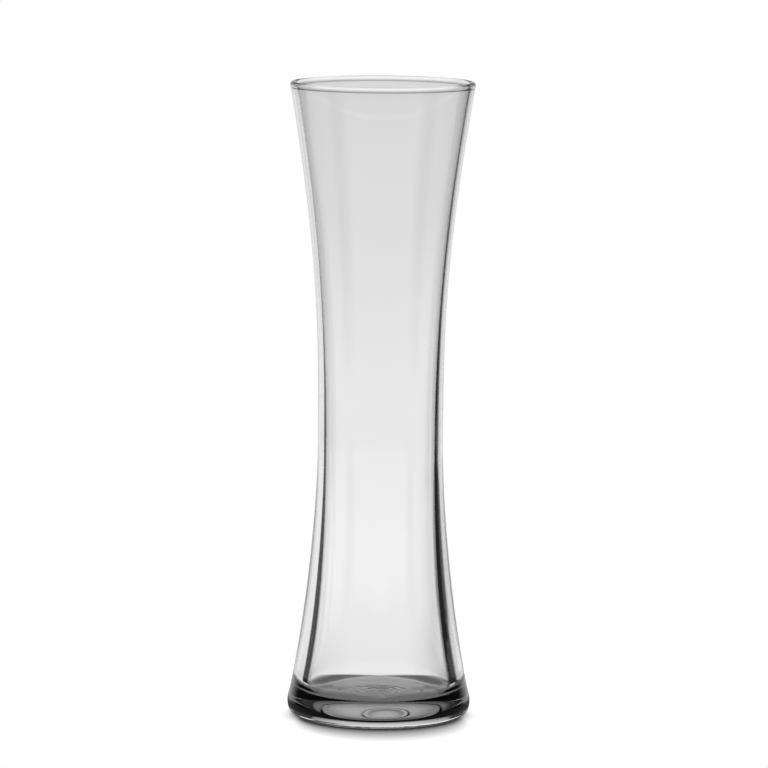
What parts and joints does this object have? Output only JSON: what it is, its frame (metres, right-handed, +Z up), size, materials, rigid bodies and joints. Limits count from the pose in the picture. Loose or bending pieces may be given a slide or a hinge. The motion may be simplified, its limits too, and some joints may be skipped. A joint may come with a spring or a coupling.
{
  "type": "glass bud vase",
  "caption": "Tall clear glass bud vase, an hourglass tube with a flared open mouth on a thick solid foot, for one flower or a few stems.",
  "frame": {"origin": "on the vase's axis, in the plane of the standing ring", "axes": "+Z up along the vase's axis, from the foot to the mouth; the vase is turned, so +X and +Y are any two sides"},
  "size_m": [0.0662, 0.0662, 0.2286],
  "materials": {
    "clear_glass": "clear fire-polished soda-lime glass, colourless with a faint grey cast where it is thick"
  },
  "bodies": {
    "root": {"vase_body": "clear_glass"}
  },
  "joints": []
}
